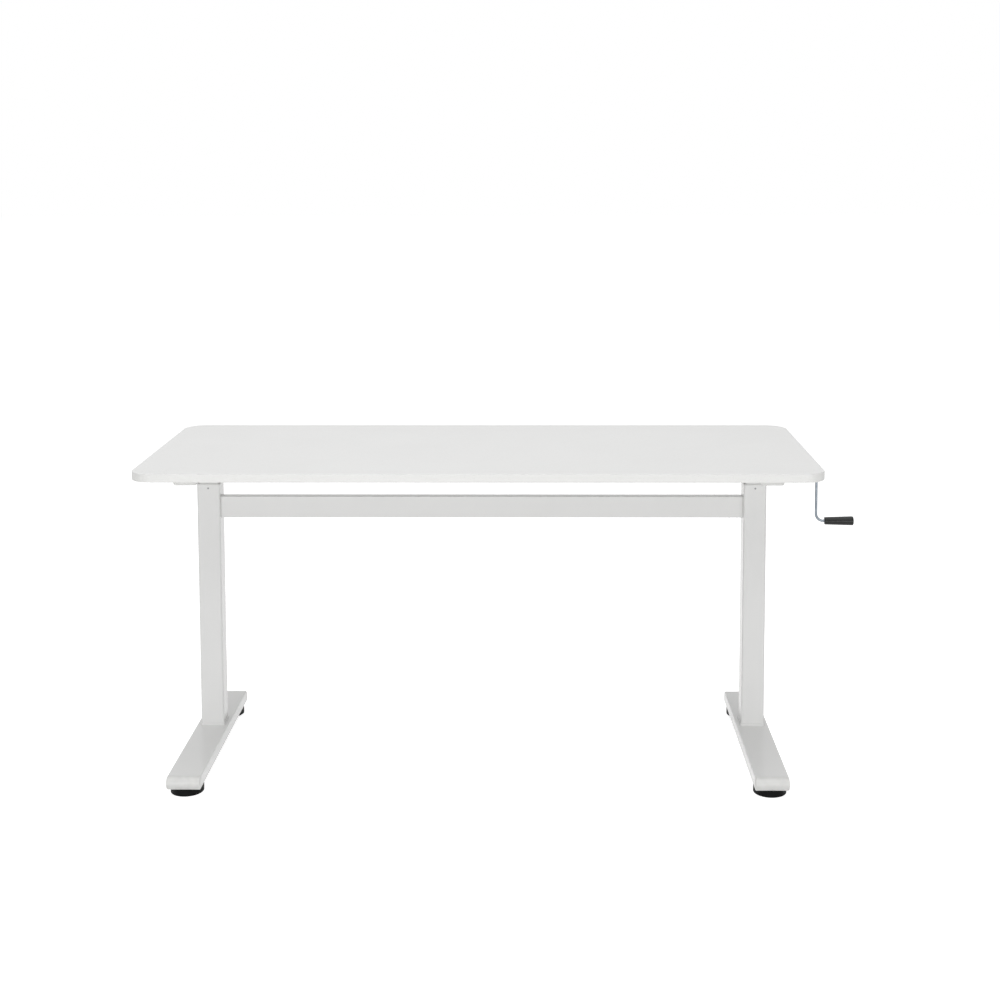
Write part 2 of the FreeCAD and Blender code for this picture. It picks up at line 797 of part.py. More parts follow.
def all_nodes():
    """Every node's name with the solids that it holds."""
    columns = (("left", -1), ("right", 1))
    ends = (("front", -1), ("rear", 1))
    xs = [side * column_x for _, side in columns]
    nodes = {
        "desktop": [desktop()],
        "foot_end_caps": [],
        "column_blocks": [column_block(x) for x in xs],
        "column_bolts": [column_bolt(x + dx, dy) for x in xs for dx, dy in corners(bolt_spacing)],
        "crossbar": [crossbar()],
        "crossbar_spigots": [crossbar_spigot(side) for _, side in columns],
        "crossbar_screws": [bar_screw(side, back) for _, side in columns
                            for back in bar_screw_places()],
        "nut_posts": [nut_post(x) for x in xs],
        "drive_nuts": [drive_nut(x) for x in xs],
        "guide_pegs": [guide_peg(x, axis, way) for x in xs for axis, way in peg_faces()],
        "glide_inserts": [glide_insert(x, y) for x in xs for y in glide_places()],
        "arm_end_caps": [arm_end_cap(side, way) for _, side in columns for _, way in ends],
        "desktop_screws": [desktop_screw(side, way) for _, side in columns for _, way in ends],
        "housing_screws": [side_screw(x, side) for x in xs for side in (-1, 1)],
        "housing_bolts": [housing_bolt(x, place) for x in xs for place in housing_bolt_places()],
        "screw_bearings": [screw_bearing(x) for x in xs],
        "lower_sliders": [lower_slider(x) for x in xs],
        "drive_rod": [drive_rod()],
        "shaft_coupler": [shaft_coupler()],
        "crank_rod": [crank_rod()],
        "grip_retainer": [grip_retainer()],
        "crank_grip": [crank_grip()],
        "grip_cap": [grip_cap()],
    }
    for x in xs:
        nodes["foot_end_caps"] += [foot_cap(x, -foot_front, -1), foot_cap(x, foot_back, 1)]
    hexagon_bore = shaft_flats / math.sqrt(3) + running_clearance
    round_bore = crank_radius + running_clearance
    nodes["shaft_bushes"] = [
        shaft_bush(-column_x, -1, hexagon_bore),
        shaft_bush(-column_x, 1, hexagon_bore),
        shaft_bush(column_x, -1, hexagon_bore),
        shaft_bush(column_x, 1, round_bore),
    ]
    for name, side in columns:
        x = side * column_x
        nodes[name + "_foot"] = [foot(x)]
        nodes[name + "_base_flange"] = [base_flange(x)]
        nodes[name + "_outer_column"] = [outer_column(x)]
        nodes[name + "_guide_sleeve"] = [guide_sleeve(x)]
        nodes[name + "_inner_column"] = [inner_column(x)]
        nodes[name + "_head_plate"] = [head_plate_shape(side)]
        nodes[name + "_gear_housing"] = [gear_housing(x)]
        nodes[name + "_housing_cover"] = [housing_cover(x)]
        nodes[name + "_lift_screw"] = [lift_screw(x)]
        nodes[name + "_screw_gear"] = [screw_gear(x)]
        nodes[name + "_drive_gear"] = [drive_gear(x)]
        for end, way in ends:
            nodes[name + "_" + end + "_arm"] = [arm(side, way)]
        for (end, _), y in zip(ends, glide_places()):
            nodes[name + "_" + end + "_glide_pad"] = [glide_pad(x, y)]
            nodes[name + "_" + end + "_glide_stud"] = [glide_stud(x, y)]
    return nodes


def footprint_middle():
    """The middle of the whole object's footprint, which becomes the origin."""
    front = max(foot_front + cap_nose, desktop_depth / 2)
    back = max(foot_back + cap_nose, desktop_depth / 2)
    return Vector((grip_end - desktop_width / 2) / 2, (back - front) / 2, 0)


def export():
    os.makedirs("parts", exist_ok=True)
    origin = footprint_middle()
    for name, solids in all_nodes().items():
        shape = solids[0] if len(solids) == 1 else Part.makeCompound(solids)
        shape = moved(shape, -origin.x, -origin.y, -origin.z)
        shape.exportStep("parts/" + name + ".step")


export()
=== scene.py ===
import math

import bmesh
import bpy
from mathutils import Matrix, Vector


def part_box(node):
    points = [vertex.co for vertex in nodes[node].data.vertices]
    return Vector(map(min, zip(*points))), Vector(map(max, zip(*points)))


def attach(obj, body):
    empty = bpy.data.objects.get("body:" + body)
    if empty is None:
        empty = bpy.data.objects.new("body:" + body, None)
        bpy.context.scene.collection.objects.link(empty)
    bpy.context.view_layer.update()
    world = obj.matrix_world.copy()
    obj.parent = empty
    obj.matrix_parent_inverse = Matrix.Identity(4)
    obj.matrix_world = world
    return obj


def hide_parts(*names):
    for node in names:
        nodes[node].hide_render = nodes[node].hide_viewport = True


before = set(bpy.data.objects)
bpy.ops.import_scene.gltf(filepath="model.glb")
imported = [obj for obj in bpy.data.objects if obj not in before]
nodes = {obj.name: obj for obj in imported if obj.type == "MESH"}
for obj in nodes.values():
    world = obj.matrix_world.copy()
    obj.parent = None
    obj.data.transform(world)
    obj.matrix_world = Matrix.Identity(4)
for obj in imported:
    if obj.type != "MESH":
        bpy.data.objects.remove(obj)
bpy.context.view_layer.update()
scene = bpy.context.scene


# Room
# A plain pale floor under a white sky, with two large soft lamps low in front of the desk, one to
# each side, and a wider one above it. Looked at, floor and sky are white, with a faint shadow.

def find_socket(sockets, key):
    """A socket by its number, its identifier or its name."""
    if isinstance(key, int):
        return sockets[key]
    for socket in sockets:
        if socket.identifier == key:
            return socket
    return sockets[key]


class Wire:
    """A socket in a node tree. A sum of wires and numbers adds the Math nodes that it needs."""

    def __init__(self, tree, socket=None):
        self.tree, self.socket = tree, socket

    def node(self, kind, settings=None, sockets=None, output=0):
        """Adds a node: first its settings, then its sockets' values or links. Gives one output."""
        made = self.tree.nodes.new(kind)
        for name, value in (settings or {}).items():
            setattr(made, name, value)
        for key, value in (sockets or {}).items():
            target = find_socket(made.inputs, key)
            for part in value if isinstance(value, list) else [value]:
                if isinstance(part, Wire):
                    self.tree.links.new(part.socket, target)
                else:
                    target.default_value = part
        return Wire(self.tree, find_socket(made.outputs, output) if made.outputs else None)

    def also(self, output):
        """Another output of this wire's node."""
        return Wire(self.tree, find_socket(self.socket.node.outputs, output))

    def maths(self, operation, *terms):
        return self.node("ShaderNodeMath", {"operation": operation}, dict(enumerate(terms)))

    def __add__(self, other):
        return self.maths("ADD", self, other)

    def __sub__(self, other):
        return self.maths("SUBTRACT", self, other)

    def __rsub__(self, other):
        return self.maths("SUBTRACT", other, self)

    def __mul__(self, other):
        return self.maths("MULTIPLY", self, other)

    def __truediv__(self, other):
        return self.maths("DIVIDE", self, other)

    __radd__, __rmul__ = __add__, __mul__


def seen_share(start):
    """1 where the background is looked at straight, in a reflection or through glass, else 0."""
    camera = start.node("ShaderNodeLightPath", output="Is Camera Ray")
    glossy, through = camera.also("Is Glossy Ray"), camera.also("Is Transmission Ray")
    return 1 - (1 - camera) * (1 - glossy) * (1 - through)


sky_level = 0.3
world = bpy.data.worlds.new("studio")
scene.world = world
world.use_nodes = True
world.node_tree.nodes.clear()
sky = Wire(world.node_tree)
white = (1.0, 1.0, 1.0, 1.0)
lighting = sky.node("ShaderNodeBackground", {}, {"Color": white, "Strength": sky_level})
backdrop = sky.node("ShaderNodeBackground", {}, {"Color": white, "Strength": 1.0})
sky_mix = sky.node("ShaderNodeMixShader", {}, {0: seen_share(sky), 1: lighting, 2: backdrop})
sky.node("ShaderNodeOutputWorld", {}, {"Surface": sky_mix})

floor_half = 30.0
floor_mesh = bpy.data.meshes.new("floor")
floor_corners = [(-floor_half, -floor_half, 0), (floor_half, -floor_half, 0),
                 (floor_half, floor_half, 0), (-floor_half, floor_half, 0)]
floor_mesh.from_pydata(floor_corners, [], [(0, 1, 2, 3)])
floor_paint = bpy.data.materials.new("floor_paint")
floor_paint.use_nodes = True
floor_paint.node_tree.nodes.clear()
floor_start = Wire(floor_paint.node_tree)
floor_seen = seen_share(floor_start)
floor_white = 0.85
shadow_share = 0.8
floor_grey = floor_white - (floor_white - shadow_share) * floor_seen
floor_colour = floor_start.node("ShaderNodeCombineColor", {}, {0: floor_grey, 1: floor_grey, 2: floor_grey})
floor_diffuse = floor_start.node("ShaderNodeBsdfDiffuse", {}, {"Color": floor_colour})
floor_glow = floor_start.node("ShaderNodeEmission", {}, {"Color": white, "Strength": floor_seen * 0.77})
floor_sum = floor_start.node("ShaderNodeAddShader", {}, {0: floor_diffuse, 1: floor_glow})
floor_start.node("ShaderNodeOutputMaterial", {}, {"Surface": floor_sum})
floor_mesh.materials.append(floor_paint)
floor = bpy.data.objects.new("floor", floor_mesh)
scene.collection.objects.link(floor)

board_low, board_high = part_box("desktop")
board_middle = (board_low + board_high) / 2


def add_lamp(name, offset, size, power):
    """A square soft lamp at an offset from the middle of the desk, facing it."""
    data = bpy.data.lights.new(name, "AREA")
    data.shape, data.size, data.energy = "SQUARE", size, power
    lamp = bpy.data.objects.new(name, data)
    scene.collection.objects.link(lamp)
    away = Vector(offset)
    target = Vector((board_middle.x, board_middle.y, board_middle.z / 2))
    lamp.matrix_world = (Matrix.Translation(target + away)
                         @ away.to_track_quat("Z", "Y").to_matrix().to_4x4())


add_lamp("right_lamp", (2.2, -4.4, 0.4), 1.6, 37.0)
add_lamp("left_lamp", (-1.0, -4.5, 0.4), 1.6, 46.0)
add_lamp("top_lamp", (-0.2, -0.3, 3.3), 6.0, 126.0)


# Camera
# Stands in front of the desk, a little to the right of its middle and at twice its height. It
# looks slightly down, and its lens is shifted so that the columns stay upright.
camera_data = bpy.data.cameras.new("camera")
camera_data.sensor_width = 36.0
camera_data.lens = 55.89
camera_data.shift_x = -0.0223
camera_data.shift_y = -0.21
camera_right, camera_back, camera_height = 0.1222, 3.5671, 1.3853
turned_left, tipped_down, rolled = 0.0076, 0.08866, -0.00119
camera = bpy.data.objects.new("camera", camera_data)
scene.collection.objects.link(camera)
camera_place = Vector((board_middle.x + camera_right, board_middle.y - camera_back, camera_height))
camera.matrix_world = (Matrix.Translation(camera_place)
                       @ Matrix.Rotation(turned_left, 4, "Z")
                       @ Matrix.Rotation(math.pi / 2 - tipped_down, 4, "X")
                       @ Matrix.Rotation(rolled, 4, "Z"))
scene.camera = camera
scene.view_settings.view_transform = "Standard"


# Feet, columns and arms
# Welded tubes of cold-rolled steel, each cut and drilled to the shapes of the frame, then
# sprayed with off-white powder and baked, which leaves a fine orange peel.

def shade(red, green, blue):
    """A colour from its 0 to 255 screen values, as the linear values that sockets take."""
    linear = []
    for value in (red, green, blue):
        share = value / 255
        linear.append(share / 12.92 if share <= 0.04045 else ((share + 0.055) / 1.055) ** 2.4)
    return (*linear, 1.0)


def new_finish(name):
    """An empty material, and the wire of places on the piece in metres."""
    material = bpy.data.materials.new(name)
    material.use_nodes = True
    material.node_tree.nodes.clear()
    return material, Wire(material.node_tree).node("ShaderNodeTexCoord", output="Object")


def close_finish(place, colour, roughness, relief=None, depth=0.0, **fixed):
    """Joins colour, roughness and a relief of some depth to the surface; the rest are numbers."""
    sockets = {"Base Color": colour, "Roughness": roughness}
    sockets.update({name.replace("_", " "): value for name, value in fixed.items()})
    if relief is not None:
        sockets["Normal"] = place.node("ShaderNodeBump", {}, {"Height": relief, "Distance": depth})
    surface = place.node("ShaderNodeBsdfPrincipled", {}, sockets)
    place.node("ShaderNodeOutputMaterial", {}, {"Surface": surface})


def grain(place, size, detail=2.0, stretch=(1.0, 1.0, 1.0)):
    """Noise from 0 to 1 with spots of about this size in metres, drawn out where stretch is small."""
    spots = place.node("ShaderNodeMapping", {}, {"Vector": place, "Scale": stretch})
    return spots.node("ShaderNodeTexNoise", {}, {"Vector": spots, "Scale": 1 / size, "Detail": detail})


def stepped(value, low, high):
    """0 below low, 1 above high, and a ramp between."""
    return value.node("ShaderNodeMapRange", {}, {"Value": value, "From Min": low, "From Max": high})


def between(share, first, second):
    """A colour between two others."""
    return share.node("ShaderNodeMix", {"data_type": "RGBA"},
                      {"Factor_Float": share, "A_Color": first, "B_Color": second}, "Result_Color")


def powder_coat():
    material, place = new_finish("powder_coat")
    peel = grain(place, 0.0018, 1.0)
    cloud = grain(place, 0.12, 1.0)
    fleck = grain(place, 0.0009, 1.0)
    paint = between(cloud * 0.5 + fleck * 0.5, shade(225, 225, 224), shade(230, 230, 229))
    close_finish(place, paint, 0.15 + 0.04 * cloud, peel, 0.000003, Specular_IOR_Level=0.35)
    return material


def give_finish(material, *names):
    """Gives CAD nodes whose shape is right their finish."""
    for name in names:
        for slot in nodes[name].material_slots:
            slot.material = material


coated = powder_coat()
sides = ("left", "right")
arms = [side + end for side in sides for end in ("_front_arm", "_rear_arm")]
give_finish(coated, "crossbar", *arms)
for side in sides:
    give_finish(coated, side + "_foot", side + "_base_flange", side + "_outer_column",
                side + "_inner_column", side + "_head_plate")


# Welds
# Beads laid by hand round the foot of each column, round its head plate and round the ends of the
# arms, and painted over with the frame.

def new_tree(name, inputs):
    """An empty geometry tree with named inputs, its starting wire, and the inputs' wires by name."""
    tree = bpy.data.node_groups.new(name, "GeometryNodeTree")
    tree.interface.new_socket("Geometry", in_out="INPUT", socket_type="NodeSocketGeometry")
    for label, kind in inputs.items():
        tree.interface.new_socket(label, in_out="INPUT", socket_type="NodeSocket" + kind)
    tree.interface.new_socket("Geometry", in_out="OUTPUT", socket_type="NodeSocketGeometry")
    start = Wire(tree).node("NodeGroupInput")
    return tree, start, {label: start.also(label) for label in inputs}


def close_tree(shape, material):
    """Ends a tree in plain geometry with its material."""
    plain = shape.node("GeometryNodeRealizeInstances", {}, {"Geometry": shape})
    done = plain.node("GeometryNodeSetMaterial", {}, {"Geometry": plain, "Material": material})
    done.node("NodeGroupOutput", {}, {0: done})


def made_plain(holder):
    """What an object's modifiers make of it, as a plain mesh. The object itself goes."""
    depsgraph = bpy.context.evaluated_depsgraph_get()
    worked_out = holder.evaluated_get(depsgraph)
    mesh = bpy.data.meshes.new_from_object(worked_out, preserve_all_data_layers=True,
                                           depsgraph=depsgraph)
    mesh.name = holder.name
    bpy.data.objects.remove(holder)
    return mesh


def smoothed(mesh, crease=32.0):
    """The mesh shaded smooth, with edges over the crease angle sharp and flat faces kept flat."""
    mesh.shade_smooth()
    mesh.set_sharp_from_angle(angle=math.radians(crease))
    holder = bpy.data.objects.new(mesh.name, mesh)
    scene.collection.objects.link(holder)
    holder.modifiers.new("flat_faces", "WEIGHTED_NORMAL").keep_sharp = True
    return made_plain(holder)


def grown(name, tree, start, sizes):
    """The plain mesh that a tree makes from a starting mesh and its sizes."""
    holder = bpy.data.objects.new(name, start)
    scene.collection.objects.link(holder)
    modifier = holder.modifiers.new(name, "NODES")
    modifier.node_group = tree
    for item in tree.interface.items_tree:
        if item.in_out == "INPUT" and item.name in sizes:
            modifier[item.identifier] = sizes[item.name]
    holder.update_tag()
    return smoothed(made_plain(holder))


def add_piece(name, mesh, body, slot, *replaced):
    """Puts a finished mesh in the scene, riding on its body and standing for its CAD nodes."""
    piece = bpy.data.objects.new(name, mesh)
    scene.collection.objects.link(piece)
    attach(piece, body)
    if replaced:
        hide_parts(*replaced)
    return piece


def rounded_outline(width, depth, corner, steps=8):
    """The points of a rectangle with round corners, about its middle, anticlockwise."""
    points = []
    for quarter, (x, y) in enumerate(((1, 1), (-1, 1), (-1, -1), (1, -1))):
        middle = (x * (width / 2 - corner), y * (depth / 2 - corner))
        for step in range(steps + 1):
            angle = math.pi / 2 * (quarter + step / steps)
            points.append((middle[0] + corner * math.cos(angle), middle[1] + corner * math.sin(angle)))
    return points


def path_mesh(name, paths):
    """A mesh of edges along one or more paths, each a list of points and whether it is closed."""
    points, edges = [], []
    for path, closed in paths:
        first = len(points)
        points += [tuple(place) for place in path]
        edges += [(first + i, first + i + 1) for i in range(len(path) - 1)]
        if closed:
            edges.append((len(points) - 1, first))
    mesh = bpy.data.meshes.new(name)
    mesh.from_pydata(points, edges, [])
    return mesh


def weld_tree():
    """Overlapping drops of metal along a path, each a little different from the last."""
    tree, start, size = new_tree("weld_bead", {"Radius": "Float", "Spacing": "Float",
                                               "Seed": "Int", "Material": "Material"})
    line = start.node("GeometryNodeMeshToCurve", {}, {"Mesh": start})
    line = line.node("GeometryNodeResampleCurve", {"mode": "LENGTH"},
                     {"Curve": line, "Length": size["Spacing"]})
    drop = start.node("GeometryNodeMeshIcoSphere", {}, {"Radius": size["Radius"], "Subdivisions": 2})
    swell = start.node("FunctionNodeRandomValue", {"data_type": "FLOAT"},
                       {"Min_001": 0.86, "Max_001": 1.08, "Seed": size["Seed"]}, "Value_001")
    beads = line.node("GeometryNodeInstanceOnPoints", {},
                      {"Points": line, "Instance": drop, "Scale": swell})
    close_tree(beads, size["Material"])
    return tree


weld_beads = weld_tree()
foot_welds, head_welds = [], []
bead = 0.0011
for side in sides:
    column_low, column_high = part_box(side + "_outer_column")
    column_middle = (column_low + column_high) / 2
    column_side = column_high.x - column_low.x
    outline = rounded_outline(column_side + bead, column_side + bead, 0.005, 6)
    weld_level = column_low.z + bead * 0.3
    foot_welds.append(([(column_middle.x + x, column_middle.y + y, weld_level)
                        for x, y in outline], True))
    tube_low, tube_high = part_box(side + "_inner_column")
    tube_side = tube_high.x - tube_low.x
    under_plate = tube_high.z - bead * 0.3
    for end in ("_front_arm", "_rear_arm"):
        arm_low, arm_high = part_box(side + end)
        outward = 1 if arm_low.x + arm_high.x > tube_low.x + tube_high.x else -1
        near, far = (tube_low.y, -1) if end == "_front_arm" else (tube_high.y, 1)
        face = near + far * bead * 0.3
        inner_x = (arm_low.x if outward > 0 else arm_high.x) - outward * bead * 0.3
        outer_x = tube_high.x if outward > 0 else tube_low.x
        below = arm_low.z - bead * 0.3
        head_welds.append(([(outer_x - outward * 0.004, face, below), (inner_x, face, below),
                            (inner_x, face, under_plate)], False))
weld_sizes = {"Radius": bead, "Spacing": bead * 0.9, "Seed": 7, "Material": coated}
add_piece("column_foot_welds", grown("column_foot_welds", weld_beads,
                                     path_mesh("column_foot_welds", foot_welds), weld_sizes),
          "base", "frame_paint")
add_piece("arm_welds", grown("arm_welds", weld_beads, path_mesh("arm_welds", head_welds), weld_sizes),
          "lift", "frame_paint")


# End caps of the feet
# Moulded bullnose caps in the colour of the frame. A plug holds each one in its tube, and the
# round nose meets the tube's end with a hairline gap.

def solids(node):
    """The boxes of the separate solids in a CAD node, in order of x, then y, then z."""
    copy = bmesh.new()
    copy.from_mesh(nodes[node].data)
    bmesh.ops.remove_doubles(copy, verts=copy.verts, dist=1e-6)
    left, boxes = set(copy.verts), []
    while left:
        island, edge = set(), [left.pop()]
        while edge:
            vertex = edge.pop()
            island.add(vertex)
            for link in vertex.link_edges:
                other = link.other_vert(vertex)
                if other in left:
                    left.discard(other)
                    edge.append(other)
        places = [vertex.co for vertex in island]
        low = Vector([min(place[i] for place in places) for i in range(3)])
        high = Vector([max(place[i] for place in places) for i in range(3)])
        boxes.append((low, high))
    copy.free()
    return sorted(boxes, key=lambda box: [round(value, 4) for value in box[0] + box[1]])


def lofted(rings):
    """A closed shape through rings of points, with flat ends."""
    shape = bmesh.new()
    loops = [[shape.verts.new(place) for place in ring] for ring in rings]
    for low, high in zip(loops, loops[1:]):
        for i in range(len(low)):
            j = (i + 1) % len(low)
            shape.faces.new((low[i], low[j], high[j], high[i]))
    shape.faces.new(list(reversed(loops[0])))
    shape.faces.new(loops[-1])
    bmesh.ops.recalc_face_normals(shape, faces=shape.faces)
    return shape


def joined(name, shapes, materials):
    """One mesh from several shapes, with its materials."""
    mesh = bpy.data.meshes.new(name)
    whole = bmesh.new()
    for shape in shapes:
        part = bpy.data.meshes.new("part")
        shape.to_mesh(part)
        shape.free()
        whole.from_mesh(part)
        bpy.data.meshes.remove(part)
    whole.to_mesh(mesh)
    whole.free()
    for material in materials:
        mesh.materials.append(material)
    return mesh


def moulded_plastic(name, dark, light, gloss, texture, **fixed):
    """Moulded plastic: a fine spark-eroded texture and slow flow marks."""
    material, place = new_finish(name)
    spark = grain(place, texture, 3.0)
    flow = stepped(grain(place, 0.014, 1.0), 0.35, 0.65)
    close_finish(place, between(flow, dark, light), gloss + 0.08 * flow, spark, texture * 0.02, **fixed)
    return material


pale_plastic = moulded_plastic("pale_cap_plastic", shade(213, 213, 211), shade(218, 218, 216), 0.3, 0.0005)
cap_gap = 0.0003
cap_edge = 0.003
plug_play = 0.0023


def foot_cap(low, high, tube_end, way):
    """The nose and plug of one cap, from its CAD box and the end of its tube."""
    middle_x, width = (low.x + high.x) / 2, high.x - low.x
    nose = abs((low.y if way < 0 else high.y) - tube_end)
    turn_z = high.z - nose
    last = -math.asin((turn_z - low.z) / nose)
    steps = 16
    arc = [math.pi / 2 + (last - math.pi / 2) * step / steps for step in range(steps + 1)]
    side = [(cap_gap, high.z)]
    side += [(nose * math.cos(a), turn_z + nose * math.sin(a)) for a in arc[1:]]
    side.append((cap_gap, low.z))
    rings = [[(x, tube_end + way * out, z) for out, z in side] for x in (low.x, high.x)]
    shape = lofted(rings)
    rims = [edge for edge in shape.edges
            if abs(edge.verts[0].co.x - edge.verts[1].co.x) < 1e-6
            and max(abs(v.co.y - tube_end) for v in edge.verts) > cap_gap * 2]
    bmesh.ops.bevel(shape, geom=rims, offset=cap_edge, segments=5, profile=0.5, affect="EDGES")
    bmesh.ops.recalc_face_normals(shape, faces=shape.faces)
    outline = rounded_outline(width - 2 * plug_play, high.z - low.z - 2 * plug_play, 0.001, 3)
    middle_z = (low.z + high.z) / 2
    inner_end = low.y if way > 0 else high.y
    plug = lofted([[(middle_x + x, y, middle_z + z) for x, z in outline]
                   for y in (inner_end, tube_end + way * cap_gap * 2)])
    return [shape, plug]


cap_shapes = []
for low, high in solids("foot_end_caps"):
    side = "left" if high.x < board_middle.x else "right"
    foot_low, foot_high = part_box(side + "_foot")
    if low.y < foot_low.y:
        cap_shapes += foot_cap(low, high, foot_low.y, -1)
    else:
        cap_shapes += foot_cap(low, high, foot_high.y, 1)
add_piece("foot_caps", smoothed(joined("foot_caps", cap_shapes, [pale_plastic])),
          "base", "foot_cap_plastic", "foot_end_caps")


# Screws
# Socket-head and button-head screws with rolled threads, turned up from below or in from the
# side: zinc-plated in the frame, black under the desktop and in the columns.

def radial(place):
    """The x, y and z wires of a place."""
    split = place.node("ShaderNodeSeparateXYZ", {}, {"Vector": place})
    return split, split.also("Y"), split.also("Z")


def at_place(x, y, z):
    """A place from its x, y and z, of which x is a wire."""
    return x.node("ShaderNodeCombineXYZ", {}, {"X": x, "Y": y, "Z": z})


def threaded_bar(start, radius, depth, lead, starts, length, rings):
    """A bar from z 0 up, with a right-handed thread of flat crests and roots."""
    bar = start.node("GeometryNodeMeshCylinder", {},
                     {"Vertices": 24, "Side Segments": rings, "Radius": radius, "Depth": length})
    x, y, z = radial(start.node("GeometryNodeInputPosition"))
    turn = x.maths("ARCTAN2", y, x) / (2 * math.pi)
    phase = x.maths("FRACT", (z / lead - turn) * starts)
    slope = x.maths("ABSOLUTE", phase * 2 - 1)
    groove = stepped(slope, 0.3, 0.7)
    reach = 1 - depth / radius * groove
    bar = bar.node("GeometryNodeSetPosition", {},
                   {"Geometry": bar, "Position": at_place(x * reach, y * reach, z + length / 2)})
    return bar


def screw_tree():
    """A screw standing on each point with its shank along the point's axis, under the head."""
    tree, start, size = new_tree("screw", {
        "Head Radius": "Float", "Head Height": "Float", "Crown": "Float", "Key Radius": "Float",
        "Shank Radius": "Float", "Shank Length": "Float", "Thread Depth": "Float",
        "Pitch": "Float", "Rings": "Int", "Material": "Material"})
    head = start.node("GeometryNodeMeshCylinder", {}, {
        "Vertices": 36, "Side Segments": 4, "Fill Segments": 6,
        "Radius": size["Head Radius"], "Depth": size["Head Height"]})
    x, y, z = radial(start.node("GeometryNodeInputPosition"))
    rise = z / size["Head Height"] + 0.5
    out = (x * x + y * y) / (size["Head Radius"] * size["Head Radius"])
    dome = z + size["Head Height"] / 2 - size["Crown"] * rise * out * out
    head = head.node("GeometryNodeSetPosition", {},
                     {"Geometry": head, "Position": at_place(x, y, dome)})
    key = start.node("GeometryNodeMeshCylinder", {}, {
        "Vertices": 6, "Radius": size["Key Radius"], "Depth": size["Head Height"]})
    key = key.node("GeometryNodeTransform", {}, {
        "Geometry": key, "Translation": at_place(size["Head Height"] * 0, 0.0, size["Head Height"])})
    head = head.node("GeometryNodeMeshBoolean", {"operation": "DIFFERENCE", "solver": "EXACT"},
                     {"Mesh 1": head, "Mesh 2": key})
    shank = threaded_bar(start, size["Shank Radius"], size["Thread Depth"], size["Pitch"], 1.0,
                         size["Shank Length"], size["Rings"])
    shank = shank.node("GeometryNodeTransform", {}, {
        "Geometry": shank, "Translation": at_place(size["Pitch"] * 0, 0.0, size["Shank Length"] * -1)})
    whole = head.node("GeometryNodeJoinGeometry", {}, {"Geometry": [head, shank]})
    axis = start.node("GeometryNodeInputNamedAttribute", {"data_type": "FLOAT_VECTOR"}, {"Name": "axis"})
    turn = axis.node("FunctionNodeAlignRotationToVector", {"axis": "Z"}, {"Vector": axis})
    placed = whole.node("GeometryNodeInstanceOnPoints", {},
                        {"Points": start, "Instance": whole, "Rotation": turn})
    close_tree(placed, size["Material"])
    return tree


def points_mesh(name, points, axes):
    """A mesh of bare points, each with the direction that its piece faces."""
    mesh = bpy.data.meshes.new(name)
    mesh.from_pydata([tuple(place) for place in points], [], [])
    directions = mesh.attributes.new("axis", "FLOAT_VECTOR", "POINT")
    for row, axis in zip(directions.data, axes):
        row.vector = axis
    return mesh


def zinc_plate():
    """Bright zinc over steel, slightly blue, with a fine crystal grain."""
    material, place = new_finish("zinc_plate")
    crystal = stepped(grain(place, 0.0012, 3.0), 0.35, 0.65)
    dull = stepped(grain(place, 0.006), 0.4, 0.7)
    tone = between(crystal, shade(196, 200, 204), shade(218, 220, 222))
    close_finish(place, tone, 0.26 + 0.16 * dull, crystal, 0.000012, Metallic=1.0)
    return material


def black_oxide():
    """Oiled black oxide on steel, brown where it is thin."""
    material, place = new_finish("black_oxide")
    thin = stepped(grain(place, 0.003, 3.0), 0.5, 0.75)
    tone = between(thin, shade(44, 44, 46), shade(72, 66, 60))
    close_finish(place, tone, 0.34 + 0.14 * thin, grain(place, 0.0006), 0.00001, Metallic=0.7)
    return material


zinc = zinc_plate()
black_screw = black_oxide()
screws = screw_tree()


def add_screws(name, node, body, slot, material, way, head, key_radius, crown, pitch):
    """Screws in place of a CAD node's. way gives each one's direction; head is radius and height."""
    points, axes = [], []
    for low, high in solids(node):
        axis = Vector(way((low + high) / 2))
        outer = Vector([high[i] if axis[i] > 0 else low[i] for i in range(3)])
        middle = (low + high) / 2
        seat = Vector([outer[i] - axis[i] * head[1] if axis[i] else middle[i] for i in range(3)])
        points.append(seat)
        axes.append(axis)
        length = sum(abs(axis[i]) * (high[i] - low[i]) for i in range(3)) - head[1]
    shank = head[2]
    rings = max(4, round(length / pitch * 8))
    sizes = {"Head Radius": head[0], "Head Height": head[1], "Crown": crown,
             "Key Radius": key_radius, "Shank Radius": shank, "Shank Length": length,
             "Thread Depth": pitch * 0.45, "Pitch": pitch, "Rings": rings, "Material": material}
    mesh = grown(name, screws, points_mesh(name, points, axes), sizes)
    add_piece(name, mesh, body, slot, node)


def downwards(middle):
    return (0, 0, -1)


def outwards(middle):
    """Away from the middle of the column that a side screw is in."""
    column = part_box("left_inner_column" if middle.x < board_middle.x else "right_inner_column")
    return (1 if middle.x > (column[0].x + column[1].x) / 2 else -1, 0, 0)


add_screws("column_foot_bolts", "column_bolts", "base", "zinc_steel", zinc, downwards,
           (0.005, 0.006, 0.003), 0.0029, 0.0006, 0.001)
add_screws("crossbar_bolts", "crossbar_screws", "base", "zinc_steel", zinc, downwards,
           (0.0045, 0.0025, 0.0025), 0.0017, 0.0009, 0.0008)
add_screws("housing_long_bolts", "housing_bolts", "lift", "zinc_steel", zinc, downwards,
           (0.0035, 0.004, 0.002), 0.0017, 0.0003, 0.0007)
add_screws("column_side_screws", "housing_screws", "lift", "black_steel", black_screw, outwards,
           (0.003, 0.0012, 0.002), 0.0014, 0.0006, 0.0007)
add_screws("desktop_pan_screws", "desktop_screws", "lift", "black_steel", black_screw, downwards,
           (0.006, 0.0035, 0.003), 0.0023, 0.0017, 0.0025)


# Levelling glides
# Round pads moulded in black rubber-like plastic, with rings in the top and grooves under them,
# each on a zinc-plated threaded stud that turns in an insert in the foot.

